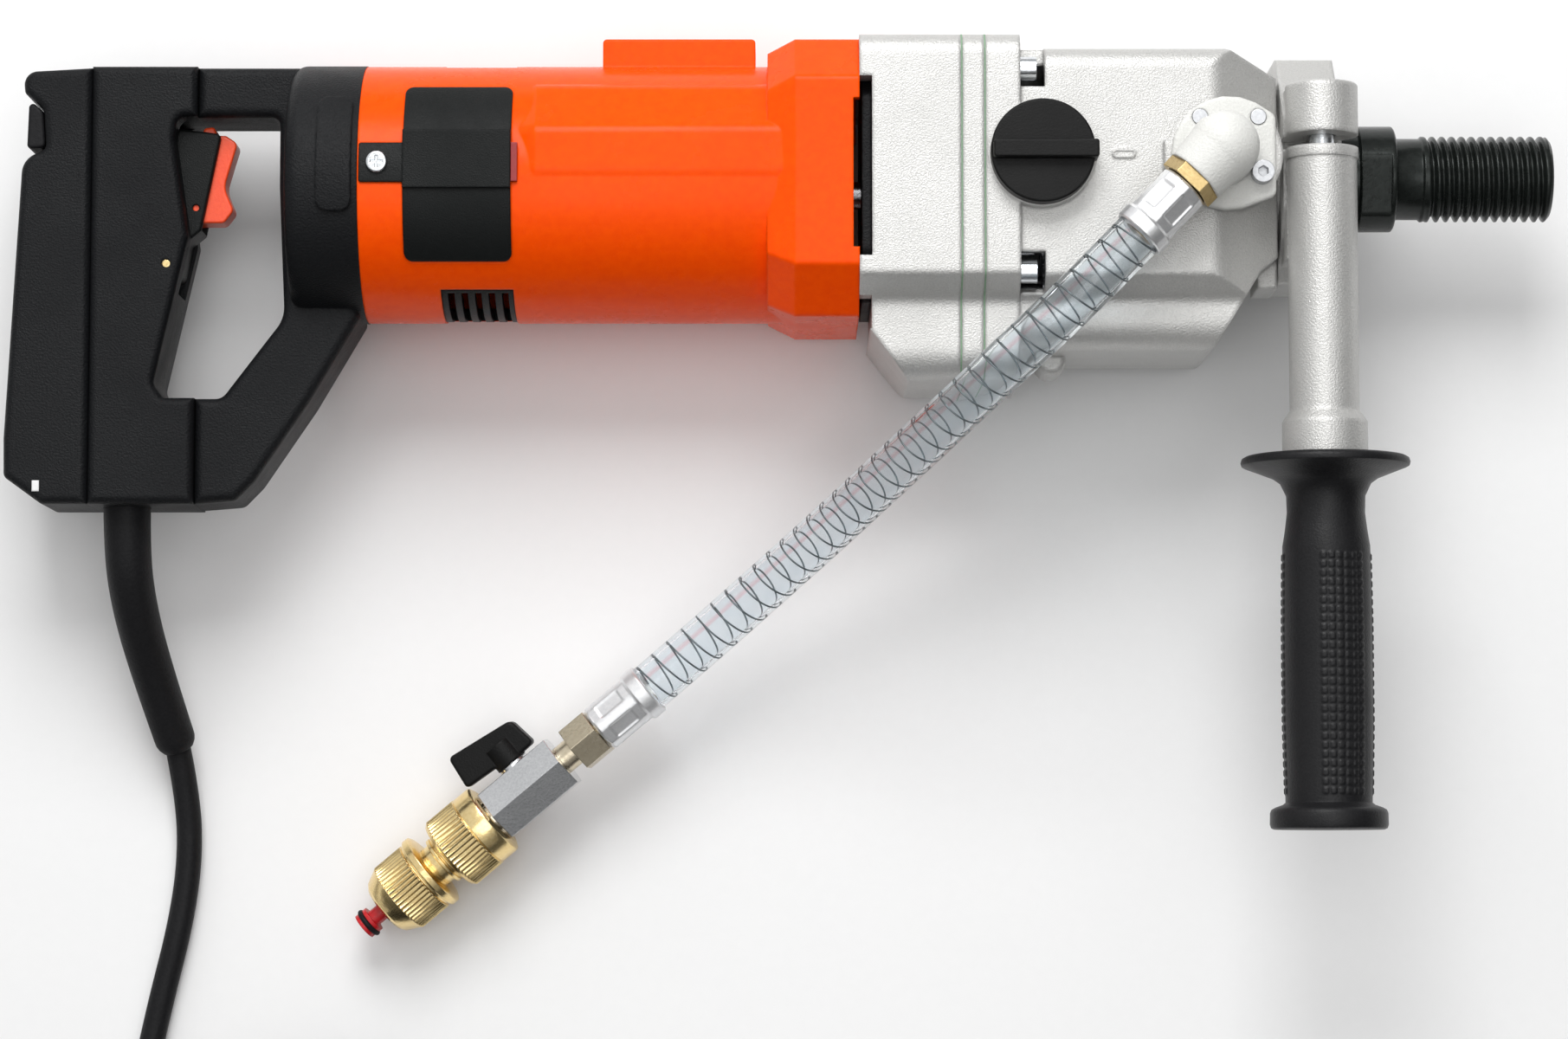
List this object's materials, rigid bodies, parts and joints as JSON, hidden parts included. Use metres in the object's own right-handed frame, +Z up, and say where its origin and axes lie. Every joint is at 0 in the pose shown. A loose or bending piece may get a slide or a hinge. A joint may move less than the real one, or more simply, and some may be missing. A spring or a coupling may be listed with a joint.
{
  "type": "wet core drill",
  "caption": "Hand-held wet core drill with D handle, clamp-on side handle, gear selector, threaded spindle, water hose with valve and quick coupling, and mains lead.",
  "frame": {"origin": "on the spindle's axis, at the shoulder that a core bit seats on", "axes": "+X along the spindle towards its nose, +Z up with the drill lying on its flank, +Y away from the side handle's grip"},
  "size_m": [0.5659, 0.5584, 0.1286],
  "materials": {
    "cast_alloy": "bead-blasted",
    "gasket": "matt",
    "zinc_screws": "zinc plated",
    "black_oxide": "black oxide",
    "gear_steel": "ground",
    "bearing_steel": "polished",
    "copper": "bare",
    "brass": "turned",
    "carbon": "sintered",
    "orange_paint": "gloss",
    "vial": "clear",
    "black_nylon": "fine texture",
    "black_rubber": "matt",
    "black_knob": "satin",
    "orange_trigger": "satin",
    "red_plastic": "satin",
    "white_plastic": "satin",
    "white_casting": "matt",
    "zinc_ferrule": "plated",
    "clear_hose": "clear",
    "chrome": "polished"
  },
  "bodies": {
    "machine": {"air_baffle": "black_nylon", "ball_bearings": "bearing_steel", "bearing_bridge": "black_nylon", "brush_cover_screws": "zinc_screws", "brush_covers": "black_nylon", "brush_holders": "brass", "carbon_brushes": "carbon", "case_screws": "zinc_screws", "cord_sleeve": "black_rubber", "coupling_union": "brass", "cover_clips": "red_plastic", "cover_lug": "white_plastic", "feed_fitting": "brass", "field_coils": "copper", "gaskets": "gasket", "gear_case_front": "cast_alloy", "gear_case_rear": "cast_alloy", "grip_bumper": "black_rubber", "grip_rear_cover": "black_nylon", "grip_shell": "black_nylon", "handle_frame": "black_nylon", "hose_ferrules": "zinc_ferrule", "indicator": "red_plastic", "lead_coil": "black_rubber", "lead_tail": "black_rubber", "level_vial": "vial", "mains_lead": "black_rubber", "middle_plate": "cast_alloy", "motor_housing": "orange_paint", "paddle_pin": "brass", "plug": "black_rubber", "shaft_seal": "black_rubber", "stator_core": "bearing_steel", "stop_plug": "red_plastic", "stop_ring": "black_rubber", "switch_body": "black_nylon", "swivel_nut": "zinc_ferrule", "valve_body": "chrome", "vent_grilles": "black_nylon", "water_cap": "white_casting", "water_hose": "clear_hose", "water_screws": "zinc_screws"},
    "spindle": {"spindle": "black_oxide", "spindle_gears": "gear_steel"},
    "countershaft": {"countershaft": "gear_steel", "counter_wheel": "gear_steel", "block_gears": "gear_steel"},
    "armature": {"armature_shaft": "gear_steel", "armature_core": "bearing_steel", "commutator": "copper", "cooling_fan": "black_nylon"},
    "selector": {"selector_knob": "black_knob"},
    "clamp": {"handle_clamp": "cast_alloy"},
    "side_grip": {"side_grip": "black_knob", "tie_rod": "gear_steel"},
    "paddle": {"paddle": "black_nylon"},
    "trigger": {"trigger": "orange_trigger"},
    "valve": {"valve_lever": "black_knob", "valve_ball": "chrome"},
    "release_collar": {"coupling_collar": "brass"}
  },
  "joints": [
    {"name": "spindle_spin", "type": "hinge", "parent": "machine", "child": "spindle", "pos_m": [0, 0, 0], "axis": [1, 0, 0], "continuous": true},
    {"name": "countershaft_spin", "type": "hinge", "parent": "machine", "child": "countershaft", "pos_m": [-0.13, -0.042, 0], "axis": [1, 0, 0], "continuous": true},
    {"name": "armature_spin", "type": "hinge", "parent": "machine", "child": "armature", "pos_m": [-0.27, -0.006, 0], "axis": [1, 0, 0], "continuous": true},
    {"name": "selector_turn", "type": "hinge", "parent": "machine", "child": "selector", "pos_m": [-0.132, 0.0012, 0.05], "axis": [0, 0, 1], "range_deg": [-60, 60]},
    {"name": "clamp_swivel", "type": "hinge", "parent": "machine", "child": "clamp", "pos_m": [-0.034, 0, 0], "axis": [1, 0, 0], "continuous": true},
    {"name": "grip_twist", "type": "hinge", "parent": "clamp", "child": "side_grip", "pos_m": [-0.031, -0.1, 0.043], "axis": [0, 1, 0], "continuous": true},
    {"name": "paddle_press", "type": "hinge", "parent": "machine", "child": "paddle", "pos_m": [-0.4497, -0.0341, 0], "axis": [0, 0, 1], "range_deg": [0, 3], "stiffness_Nm_per_rad": 3, "springref_deg": -8.59},
    {"name": "trigger_press", "type": "hinge", "parent": "paddle", "child": "trigger", "pos_m": [-0.4405, -0.012, 0], "axis": [0, 0, 1], "range_deg": [0, 6], "stiffness_Nm_per_rad": 1, "springref_deg": -8.59},
    {"name": "valve_turn", "type": "hinge", "parent": "machine", "child": "valve", "pos_m": [-0.31813, -0.22319, -0.0263], "axis": [-0.6384, 0.7697, 0], "range_deg": [0, 90]},
    {"name": "collar_release", "type": "slide", "parent": "machine", "child": "release_collar", "axis": [0.7654, 0.6349, 0.1052], "range_m": [0, 0.003], "stiffness_N_per_m": 500, "springref_m": -0.004}
  ],
  "couplings": [
    {"joint": "countershaft_spin", "follows": "spindle_spin", "ratio": -3},
    {"joint": "armature_spin", "follows": "spindle_spin", "ratio": 15}
  ]
}
